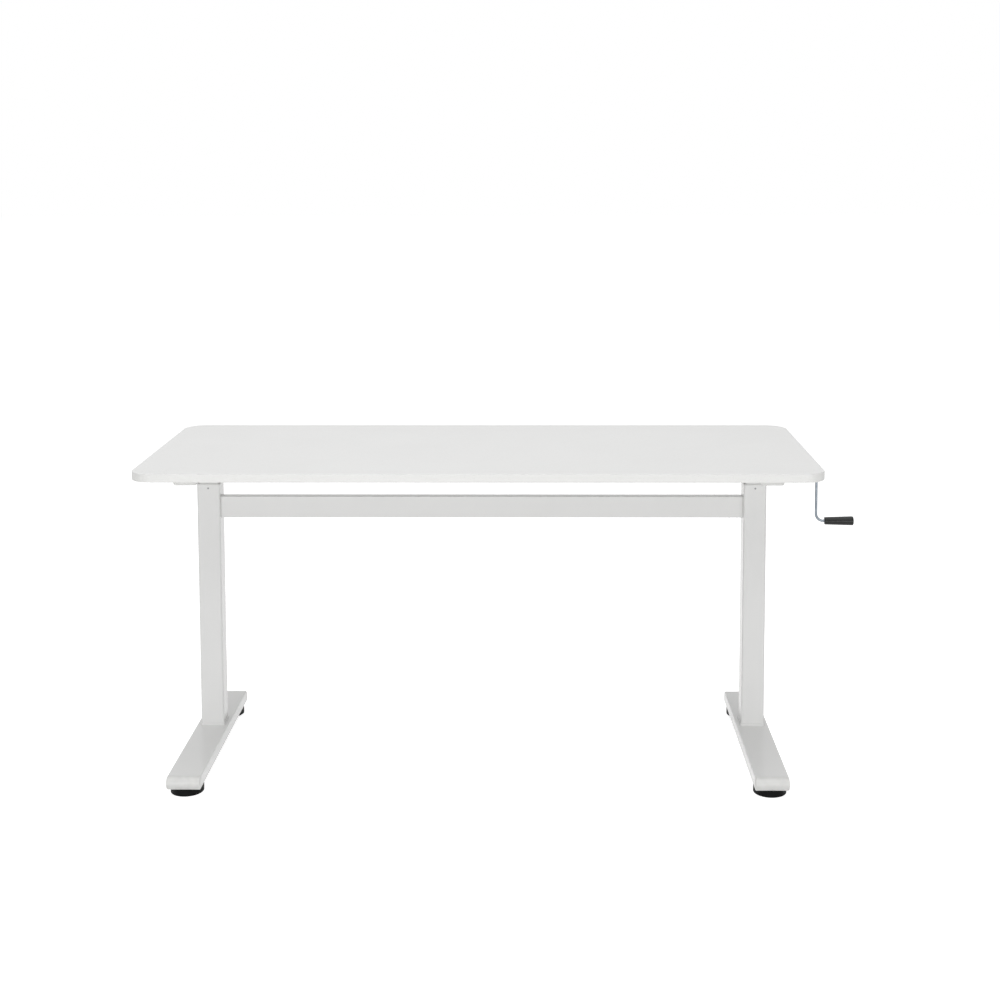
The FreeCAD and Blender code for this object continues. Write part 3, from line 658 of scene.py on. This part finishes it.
def turned(outline, steps=64, closed=False):
    """A shape turned about Z from its outline of radius and height. A closed one has a bore."""
    shape = bmesh.new()
    rings = []
    for radius, height in outline:
        count = steps if radius > 0 else 1
        rings.append([shape.verts.new((radius * math.cos(2 * math.pi * i / steps),
                                       radius * math.sin(2 * math.pi * i / steps), height))
                      for i in range(count)])
    pairs = list(zip(rings, rings[1:]))
    if closed:
        pairs.append((rings[-1], rings[0]))
    for low, high in pairs:
        for i in range(steps):
            j = (i + 1) % steps
            corner = [low[i % len(low)], low[j % len(low)], high[j % len(high)], high[i % len(high)]]
            corner = list(dict.fromkeys(corner))
            if len(corner) > 2:
                shape.faces.new(corner)
    bmesh.ops.recalc_face_normals(shape, faces=shape.faces)
    return shape


def arc_points(middle, radius, first, last, steps):
    """Points of an arc from one angle to another, in degrees."""
    angles = [math.radians(first + (last - first) * i / steps) for i in range(steps + 1)]
    return [(middle[0] + radius * math.cos(a), middle[1] + radius * math.sin(a)) for a in angles]


def glide_rubber():
    material, place = new_finish("glide_rubber")
    fine = grain(place, 0.0004, 3.0)
    bloom = stepped(grain(place, 0.012, 3.0), 0.5, 0.75)
    tone = between(bloom, shade(10, 11, 11), shade(17, 18, 18))
    close_finish(place, tone, 0.5 + 0.12 * bloom, fine, 0.000012, Specular_IOR_Level=0.08)
    return material


def thread_tree():
    """Threaded bars standing on points."""
    tree, start, size = new_tree("thread", {
        "Radius": "Float", "Depth": "Float", "Lead": "Float", "Starts": "Float",
        "Length": "Float", "Rings": "Int", "Material": "Material"})
    bar = threaded_bar(start, size["Radius"], size["Depth"], size["Lead"], size["Starts"],
                       size["Length"], size["Rings"])
    placed = bar.node("GeometryNodeInstanceOnPoints", {}, {"Points": start, "Instance": bar})
    close_tree(placed, size["Material"])
    return tree


rubber = glide_rubber()
threads = thread_tree()
ring_spacing = 0.0045
ring_depth = 0.0005
give_finish(zinc, "glide_inserts")
for side in sides:
    for end in ("_front", "_rear"):
        name = side + end + "_glide"
        low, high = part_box(name + "_pad")
        stud_low, stud_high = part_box(name + "_stud")
        pad_radius, pad_height = (high.x - low.x) / 2, high.z - low.z
        stud_radius = (stud_high.x - stud_low.x) / 2
        outline = [(0.0, 0.0012), (0.006, 0.0012), (0.0064, 0.0)]
        for ring in range(1, 6):
            radius = 0.0055 + ring * 0.0052
            outline += [(radius, 0.0), (radius + 0.0003, 0.0007), (radius + 0.0009, 0.0007),
                        (radius + 0.0012, 0.0)]
        outline += arc_points((pad_radius - 0.0012, 0.0012), 0.0012, -90, 0, 4)
        outline += arc_points((pad_radius - 0.0025, pad_height - 0.0025), 0.0025, 0, 90, 6)
        for ring in range(5):
            radius = pad_radius - 0.0045 - ring * ring_spacing
            outline += [(radius, pad_height), (radius - 0.0005, pad_height - ring_depth),
                        (radius - 0.0018, pad_height - ring_depth), (radius - 0.0023, pad_height)]
        outline += [(stud_radius + 0.0009, pad_height), (stud_radius + 0.0002, pad_height - 0.0007),
                    (stud_radius + 0.0002, stud_low.z), (0.0, stud_low.z)]
        pad = joined(name + "_foot", [turned(outline, 72)], [rubber])
        pad.transform(Matrix.Translation(((low.x + high.x) / 2, (low.y + high.y) / 2, low.z)))
        add_piece(name + "_foot", smoothed(pad), name, "glide_rubber", name + "_pad")
        stud_middle = (stud_low + stud_high) / 2
        stand = points_mesh(name, [(stud_middle.x, stud_middle.y, stud_low.z)], [(0, 0, 1)])
        stud_length = stud_high.z - stud_low.z
        stud = grown(name + "_thread", threads, stand, {
            "Radius": stud_radius, "Depth": 0.0006, "Lead": 0.0015, "Starts": 1.0,
            "Length": stud_length, "Rings": round(stud_length / 0.0015 * 8), "Material": zinc})
        add_piece(name + "_thread", stud, name, "zinc_steel", name + "_stud")


# Inner steelwork
# Plain steel blocks, spigots, nut posts and couplers, sawn and machined, with drawn or cut
# marks and a film of oil. They sit inside the tubes.

def drawn_steel(name, along, tone=(168, 168, 166)):
    """Steel with fine marks drawn out along one axis and a thin uneven film of oil."""
    material, place = new_finish(name)
    stretch = [1.0, 1.0, 1.0]
    stretch["XYZ".index(along)] = 0.01
    marks = grain(place, 0.0005, 2.0, tuple(stretch))
    film = stepped(grain(place, 0.02, 3.0), 0.4, 0.7)
    light = shade(*tone)
    dark = shade(*[value - 26 for value in tone])
    close_finish(place, between(marks * 0.6 + film * 0.3, light, dark), 0.27 + 0.15 * film, marks,
                 0.00001, Metallic=1.0)
    return material


upright_steel = drawn_steel("steel_drawn_upright", "Z")
level_steel = drawn_steel("steel_drawn_level", "X")
give_finish(upright_steel, "column_blocks", "nut_posts")
give_finish(level_steel, "crossbar_spigots", "shaft_coupler")


# Nuts of the lift screws
# Flanged nuts turned from bronze, pressed into the tops of their posts.

def turned_bronze():
    material, place = new_finish("turned_bronze")
    lathe = grain(place, 0.0003, 1.0, (0.01, 0.01, 1.0))
    stain = stepped(grain(place, 0.008, 3.0), 0.45, 0.7)
    tone = between(stain, shade(196, 152, 92), shade(158, 116, 66))
    close_finish(place, tone, 0.26 + 0.2 * stain, lathe, 0.000012, Metallic=1.0)
    return material


give_finish(turned_bronze(), "drive_nuts")


# Lift screws
# Steel screws with a rolled two-start trapezoidal thread, greased. The journal at the top
# carries the bearing and the gear.
screw_lead = 0.008
screw_starts = 2.0
screw_thread_depth = 0.0019
journal_radius = 0.005


def greased_steel():
    """Rolled steel under a film of pale amber grease, thicker in patches."""
    material, place = new_finish("greased_steel")
    smear = stepped(grain(place, 0.004, 3.0, (1.0, 1.0, 0.4)), 0.45, 0.62)
    marks = grain(place, 0.0005, 1.0, (1.0, 1.0, 0.05))
    tone = between(smear, shade(170, 170, 168), shade(150, 136, 104))
    close_finish(place, tone, 0.3 - 0.12 * smear, marks + smear, 0.00003, Metallic=1.0)
    return material


grease = greased_steel()
for side in sides:
    low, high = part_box(side + "_lift_screw")
    shoulder = solids("screw_bearings")[0 if side == "left" else 1][0].z - 0.0003
    thread_length = shoulder - low.z
    middle = (low + high) / 2
    stand = points_mesh(side, [(middle.x, middle.y, low.z)], [(0, 0, 1)])
    bar = grown(side + "_bar", threads, stand, {
        "Radius": (high.x - low.x) / 2, "Depth": screw_thread_depth, "Lead": screw_lead,
        "Starts": screw_starts, "Length": thread_length,
        "Rings": round(thread_length / screw_lead * screw_starts * 7), "Material": grease})
    journal = turned([(0.0, shoulder), (journal_radius, shoulder), (journal_radius, high.z - 0.0005),
                      (journal_radius - 0.0005, high.z), (0.0, high.z)], 32)
    bmesh.ops.translate(journal, verts=journal.verts, vec=(middle.x, middle.y, 0))
    journal.from_mesh(bar)
    whole = joined(side + "_threaded_screw", [journal], [grease])
    add_piece(side + "_threaded_screw", smoothed(whole), side + "_screw", "bare_steel",
              side + "_lift_screw")


# Bearings of the lift screws
# Deep-groove ball bearings: two ground rings, a row of balls between them and a shield-less
# open side, pressed into the lower housings.
ball_count = 9


def ground_steel():
    material, place = new_finish("ground_steel")
    lines = grain(place, 0.00025, 1.0, (0.02, 0.02, 1.0))
    close_finish(place, between(lines, shade(205, 206, 208), shade(184, 185, 188)),
                 0.14 + 0.08 * lines, lines, 0.000004, Metallic=1.0)
    return material


def ball_tree():
    """A ring of balls about each point."""
    tree, start, size = new_tree("ball_ring", {"Ball Radius": "Float", "Ring Radius": "Float",
                                               "Count": "Int", "Material": "Material"})
    circle = start.node("GeometryNodeMeshCircle", {}, {"Vertices": size["Count"],
                                                       "Radius": size["Ring Radius"]})
    ball = start.node("GeometryNodeMeshIcoSphere", {}, {"Radius": size["Ball Radius"], "Subdivisions": 3})
    balls = circle.node("GeometryNodeInstanceOnPoints", {}, {"Points": circle, "Instance": ball})
    rows = balls.node("GeometryNodeInstanceOnPoints", {}, {"Points": start, "Instance": balls})
    close_tree(rows, size["Material"])
    return tree


race_steel = ground_steel()
race_shapes, ball_rings = [], []
for low, high in solids("screw_bearings"):
    middle = (low + high) / 2
    outer_radius, half = (high.x - low.x) / 2, (high.z - low.z) / 2
    inner_radius = journal_radius + 0.0001
    wall = (outer_radius - inner_radius) * 0.3
    row_radius = (outer_radius + inner_radius) / 2
    ball_radius = (outer_radius - inner_radius) * 0.3
    for bore, rim, groove in ((inner_radius, inner_radius + wall, 1), (outer_radius - wall, outer_radius, -1)):
        dip = wall * 0.35
        if groove > 0:
            outline = [(bore, -half), (rim, -half), (rim, -half * 0.5), (rim - dip, 0),
                       (rim, half * 0.5), (rim, half), (bore, half)]
        else:
            outline = [(rim, -half), (rim, half), (bore, half), (bore, half * 0.5),
                       (bore + dip, 0), (bore, -half * 0.5), (bore, -half)]
        race = turned(outline, 48, closed=True)
        bmesh.ops.translate(race, verts=race.verts, vec=middle)
        race_shapes.append(race)
    ball_rings.append(middle)
add_piece("bearing_rings", smoothed(joined("bearing_rings", race_shapes, [race_steel])),
          "lift", "bare_steel", "screw_bearings")
balls = grown("bearing_balls", ball_tree(), points_mesh("balls", ball_rings, [(0, 0, 1)] * 2),
              {"Ball Radius": ball_radius, "Ring Radius": row_radius, "Count": ball_count,
               "Material": race_steel})
add_piece("bearing_balls", balls, "lift", "bare_steel")


# Mitre gears
# Cut and hardened steel gears, dark from hardening and greasy between the teeth.

def gear_steel():
    material, place = new_finish("gear_steel")
    cut = grain(place, 0.0005, 2.0)
    grease_share = stepped(grain(place, 0.004, 3.0), 0.45, 0.65)
    tone = between(grease_share, shade(132, 132, 134), shade(96, 90, 78))
    close_finish(place, tone, 0.36 - 0.14 * grease_share, cut + grease_share, 0.00002, Metallic=1.0)
    return material


give_finish(gear_steel(), *[side + "_" + which + "_gear" for side in sides
                            for which in ("screw", "drive")])


# Gear housings
# Two die-cast halves in each column head, bolted to each other and to the head plate.

def die_cast():
    material, place = new_finish("die_cast")
    skin = grain(place, 0.0009, 4.0)
    flow = stepped(grain(place, 0.018, 3.0), 0.4, 0.68)
    tone = between(flow, shade(178, 180, 182), shade(150, 152, 155))
    close_finish(place, tone, 0.46 + 0.12 * flow, skin, 0.00005, Metallic=0.9)
    return material


give_finish(die_cast(), *[side + "_" + half for side in sides
                          for half in ("gear_housing", "housing_cover")])


# Guide sleeves
# White acetal sleeves pushed into the mouths of the fixed tubes. A thin flange lies on the tube's
# rim, with a clip in the middle of each side, and four pegs key the sleeve to the tube.

def ringed(rings):
    """A closed shape through rings of points of which the last joins the first."""
    shape = bmesh.new()
    loops = [[shape.verts.new(place) for place in ring] for ring in rings]
    for low, high in zip(loops, loops[1:] + loops[:1]):
        for i in range(len(low)):
            j = (i + 1) % len(low)
            shape.faces.new((low[i], low[j], high[j], high[i]))
    bmesh.ops.recalc_face_normals(shape, faces=shape.faces)
    return shape


def square_ring(middle, side, corner, level):
    outline = rounded_outline(side, side, corner, 6)
    return [(middle.x + x, middle.y + y, level) for x, y in outline]


white_acetal = moulded_plastic("white_acetal", shade(214, 214, 212), shade(222, 222, 220), 0.34, 0.0006)
peg_plastic = moulded_plastic("peg_plastic", shade(150, 151, 152), shade(162, 163, 164), 0.4, 0.0005)
sleeve_wall = 0.0017
flange_gap = 0.0003
clip_width, clip_drop, clip_thickness = 0.0075, 0.0016, 0.0004
for side in sides:
    low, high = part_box(side + "_guide_sleeve")
    tube_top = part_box(side + "_outer_column")[1].z
    middle = (low + high) / 2
    outer, hole = high.x - low.x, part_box(side + "_inner_column")[1].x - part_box(side + "_inner_column")[0].x + 0.0006
    neck = hole + 2 * sleeve_wall
    rings = [square_ring(middle, neck, 0.003, low.z), square_ring(middle, neck, 0.003, tube_top),
             square_ring(middle, neck, 0.003, tube_top + flange_gap),
             square_ring(middle, outer, 0.005, tube_top + flange_gap),
             square_ring(middle, outer, 0.005, high.z - 0.0004),
             square_ring(middle, outer - 0.0008, 0.0046, high.z),
             square_ring(middle, hole + 0.001, 0.0048, high.z),
             square_ring(middle, hole, 0.0043, high.z - 0.0005),
             square_ring(middle, hole, 0.0043, low.z)]
    shapes = [ringed(rings)]
    for turn in range(4):
        outline = rounded_outline(clip_width, clip_drop * 2, clip_drop * 0.9, 5)
        outer_face = outer / 2 + clip_thickness
        clip = lofted([[(x, -depth, tube_top + z) for x, z in outline]
                       for depth in (outer / 2 - 0.001, outer_face - 0.0002)]
                      + [[(x * 0.93, -outer_face, tube_top + z * 0.86) for x, z in outline]])
        clip.transform(Matrix.Translation((middle.x, middle.y, 0)) @ Matrix.Rotation(turn * math.pi / 2, 4, "Z"))
        shapes.append(clip)
    add_piece(side + "_sleeve", smoothed(joined(side + "_sleeve", shapes, [white_acetal])),
              "base", "sleeve_plastic", side + "_guide_sleeve")

peg_shapes = []
for low, high in solids("guide_pegs"):
    middle, spans = (low + high) / 2, high - low
    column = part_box("left_outer_column" if middle.x < board_middle.x else "right_outer_column")
    away = middle - (column[0] + column[1]) / 2
    away = Vector((away.x, 0, 0)) if spans.x < spans.y else Vector((0, away.y, 0))
    radius, depth = spans.z / 2, min(spans.x, spans.y)
    outline = [(0.0, -depth / 2), (radius, -depth / 2), (radius, depth / 2 - 0.0004)]
    outline += arc_points((radius - 0.0004, depth / 2 - 0.0004), 0.0004, 20, 90, 3)
    outline += [(radius * 0.5, depth / 2), (radius * 0.4, depth / 2 - 0.0006), (0.0, depth / 2 - 0.0006)]
    peg = turned(outline, 24)
    peg.transform(Matrix.Translation(middle) @ away.to_track_quat("Z", "Y").to_matrix().to_4x4())
    peg_shapes.append(peg)
add_piece("sleeve_pegs", smoothed(joined("sleeve_pegs", peg_shapes, [peg_plastic])),
          "base", "black_plastic", "guide_pegs")


# Sliding rings and bushes
# Rings of dark low-friction nylon at the lower ends of the sliding tubes, and bushes of the same
# stuff that carry the cross shaft through the walls of the tubes.
dark_nylon = moulded_plastic("dark_nylon", shade(48, 49, 50), shade(58, 59, 60), 0.42, 0.0006)
give_finish(dark_nylon, "lower_sliders", "shaft_bushes")


# Arm end caps
# Thin moulded caps pushed into the arms' ends, pillowed at the edge, with a hairline gap.
arm_corner = 0.005
cap_shapes = []
for low, high in solids("arm_end_caps"):
    arm = [box for box in (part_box(name) for name in arms)
           if abs(box[0].x - low.x) < 0.001 and box[0].y < high.y and box[1].y > low.y][0]
    front = low.y < arm[0].y
    end = arm[0].y if front else arm[1].y
    way = -1 if front else 1
    reach = abs((low.y if front else high.y) - end)
    width, height = high.x - low.x, high.z - low.z
    middle_x, middle_z = (low.x + high.x) / 2, (low.z + high.z) / 2
    rings = []
    pillow = reach - 0.0004
    for out, inset in [(0.0002, 0.0)] + [(reach - pillow + pillow * math.sin(a), pillow * (1 - math.cos(a)))
                                         for a in [math.pi / 2 * i / 6 for i in range(7)]]:
        outline = rounded_outline(width - 2 * inset, height - 2 * inset, arm_corner - inset, 6)
        rings.append([(middle_x + x, end + way * out, middle_z + z) for x, z in outline])
    cap_shapes.append(lofted(rings))
    outline = rounded_outline(width - 2 * plug_play, height - 2 * plug_play, arm_corner - 0.002, 3)
    inner_end = high.y if front else low.y
    cap_shapes.append(lofted([[(middle_x + x, y, middle_z + z) for x, z in outline]
                              for y in (inner_end, end + way * 0.0004)]))
add_piece("arm_caps", smoothed(joined("arm_caps", cap_shapes, [pale_plastic])),
          "lift", "foot_cap_plastic", "arm_end_caps")


# Desktop
# A particle board coated with pale melamine on both sides and banded round its edge in the same
# colour. The band meets the top in a fine glue line, and the corners are well rounded.
edge_round = 0.0015
corner_round = 0.048
glue_line = 0.00015


def melamine(name, light, dark, gloss):
    """Melamine film: pearl texture, faint clouds, and tiny pits that catch dust."""
    material, place = new_finish(name)
    pearl = grain(place, 0.0011, 3.0)
    mottle = stepped(grain(place, 0.0045, 3.0), 0.3, 0.7)
    cloud = stepped(grain(place, 0.16, 2.0), 0.3, 0.7)
    pits = stepped(grain(place, 0.0018, 0.0), 0.7, 0.78)
    tone = between(mottle * 0.6 + cloud * 0.4, light, dark)
    tone = between(pits * 0.3, tone, shade(196, 195, 192))
    close_finish(place, tone, gloss + 0.08 * pearl, pearl - 0.6 * pits, 0.00003)
    return material


top_melamine = melamine("top_melamine", shade(229, 229, 228), shade(225, 225, 224), 0.42)
edge_band = melamine("edge_band", shade(231, 231, 229), shade(228, 228, 226), 0.36)
under_melamine = melamine("under_melamine", shade(219, 219, 217), shade(213, 213, 211), 0.5)
board_width, board_depth = board_high.x - board_low.x, board_high.y - board_low.y
profile = [(edge_round * (1 - math.sin(a)), board_low.z + edge_round * (1 - math.cos(a)))
           for a in [math.pi / 2 * i / 5 for i in range(6)]]
band_top = board_high.z - edge_round
profile += [(0.0, band_top - 0.0006), (glue_line, band_top - 0.0004), (glue_line, band_top - 0.0003),
            (0.0, band_top - 0.0001)]
profile += [(edge_round * (1 - math.cos(a)), band_top + edge_round * math.sin(a))
            for a in [math.pi / 2 * i / 5 for i in range(6)]]
rings = []
for inset, level in profile:
    outline = rounded_outline(board_width - 2 * inset, board_depth - 2 * inset, corner_round - inset, 20)
    rings.append([(board_middle.x + x, board_middle.y + y, level) for x, y in outline])
board = joined("desktop_board", [lofted(rings)], [top_melamine, edge_band, under_melamine])
for face in board.polygons:
    if face.center.z > band_top - 0.0001:
        face.material_index = 0
    elif face.center.z > board_low.z + 0.0001:
        face.material_index = 1
    else:
        face.material_index = 2
add_piece("desktop_board", smoothed(board), "lift", "desktop_laminate", "desktop")


# Cross shaft
# A cold-drawn hexagon bar from gearbox to gearbox, slightly brown from its oil, with its
# corners broken.
brown_steel = drawn_steel("shaft_steel", "X", (150, 144, 136))
low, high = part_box("drive_rod")
middle = (low + high) / 2
flat_radius = (high.y - low.y) / 2
corner_break = 0.0003
rings = []
for x, inset in ((low.x, 0.0006), (low.x + 0.0006, 0.0), (high.x - 0.0006, 0.0), (high.x, 0.0006)):
    hexagon = []
    for corner in range(6):
        for lean in (-1, 1):
            angle = math.pi / 3 * corner + lean * corner_break / flat_radius
            radius = flat_radius - inset - corner_break * 0.4
            hexagon.append((x, middle.y + radius * math.cos(angle), middle.z + radius * math.sin(angle)))
    rings.append(hexagon)
add_piece("cross_shaft", smoothed(joined("cross_shaft", [lofted(rings)], [brown_steel]), 20.0),
          "crank", "bare_steel", "drive_rod")


# Crank
# A round steel bar bent twice to make the crank, with a blue-grey plated finish.

def crank_plate():
    material, place = new_finish("crank_plate")
    marks = grain(place, 0.0006, 2.0)
    wear = stepped(grain(place, 0.012, 3.0), 0.5, 0.75)
    tone = between(wear, shade(120, 127, 135), shade(142, 148, 154))
    close_finish(place, tone, 0.3 + 0.1 * wear, marks, 0.00001, Metallic=0.85)
    return material


def bent_bar_tree():
    """A round bar along a path, with a bend of its own radius at each corner."""
    tree, start, size = new_tree("bent_bar", {"Radius": "Float", "Material": "Material"})
    line = start.node("GeometryNodeMeshToCurve", {}, {"Mesh": start})
    bend = start.node("GeometryNodeInputNamedAttribute", {"data_type": "FLOAT"}, {"Name": "bend"})
    line = line.node("GeometryNodeFilletCurve", {"mode": "POLY"},
                     {"Curve": line, "Count": 14, "Radius": bend})
    section = start.node("GeometryNodeCurvePrimitiveCircle", {}, {"Resolution": 28,
                                                                  "Radius": size["Radius"]})
    bar = line.node("GeometryNodeCurveToMesh", {}, {"Curve": line, "Profile Curve": section,
                                                    "Fill Caps": True})
    close_tree(bar, size["Material"])
    return tree


bar_low, bar_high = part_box("crank_rod")
bar_radius = (bar_high.y - bar_low.y) / 2
grip_low, grip_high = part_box("crank_grip")
crank_throw = (bar_high.z - bar_low.z) - 2 * bar_radius
lower_bend, grip_gap, upper_bend = 0.017, 0.0023, 0.010
arm_x = grip_low.x - grip_gap - lower_bend
crank_y = (bar_low.y + bar_high.y) / 2
top_z, low_z = bar_high.z - bar_radius, bar_low.z + bar_radius
crank_line = path_mesh("crank_line", [([(bar_low.x, crank_y, top_z), (arm_x, crank_y, top_z),
                                        (arm_x, crank_y, low_z), (bar_high.x, crank_y, low_z)], False)])
bends = crank_line.attributes.new("bend", "FLOAT", "POINT")
for row, radius in zip(bends.data, (0.0, upper_bend, lower_bend, 0.0)):
    row.value = radius
crank = grown("crank_bar", bent_bar_tree(), crank_line, {"Radius": bar_radius, "Material": crank_plate()})
add_piece("crank_bar", crank, "crank", "crank_steel", "crank_rod")
give_finish(zinc, "grip_retainer")


# Grip
# A tapered handle moulded in glossy black plastic that turns on the crank, with a rounded collar
# and a pressed-in end cap.
gloss_black = moulded_plastic("gloss_black", shade(15, 17, 16), shade(20, 22, 21), 0.14, 0.0004,
                              Specular_IOR_Level=0.3)
cap_low, cap_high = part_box("grip_cap")
grip_length = grip_high.x - grip_low.x
start_radius, end_radius = 0.0088, 0.01065
bore_radius, pocket_radius, pocket_depth = 0.00308, 0.0053, 0.0028
grip_outline = arc_points((start_radius - 0.0018, 0.0018), 0.0018, -90, -8, 6)
for step in range(9):
    share = step / 8
    radius = start_radius + (end_radius - start_radius) * share
    grip_outline.append((radius, 0.0026 + (grip_length - 0.0032) * share))
grip_outline += [(end_radius - 0.0003, grip_length - 0.0002), (end_radius - 0.0003, grip_length),
                 (pocket_radius, grip_length), (pocket_radius, grip_length - pocket_depth),
                 (bore_radius, grip_length - pocket_depth), (bore_radius, 0.0)]
grip_turn = Matrix.Rotation(math.pi / 2, 4, "Y")
grip_mesh = joined("turning_grip", [turned(grip_outline, 64, closed=True)], [gloss_black])
grip_mesh.transform(Matrix.Translation((grip_low.x, crank_y, low_z)) @ grip_turn)
add_piece("turning_grip", smoothed(grip_mesh), "grip", "grip_plastic", "crank_grip")
cap_length = cap_high.x - cap_low.x
cap_outline = [(0.0, 0.0), (end_radius - 0.0003, 0.0), (end_radius - 0.0003, 0.0002),
               (end_radius, 0.0005)]
cap_outline += arc_points((end_radius - 0.0026, cap_length - 0.003), 0.0026, 0, 70, 6)
cap_outline += [(end_radius * 0.5, cap_length - 0.0001), (0.0, cap_length)]
cap_mesh = joined("grip_end_cap", [turned(cap_outline, 64)], [gloss_black])
cap_mesh.transform(Matrix.Translation((cap_low.x, crank_y, low_z)) @ grip_turn)
add_piece("grip_end_cap", smoothed(cap_mesh), "grip", "grip_plastic", "grip_cap")
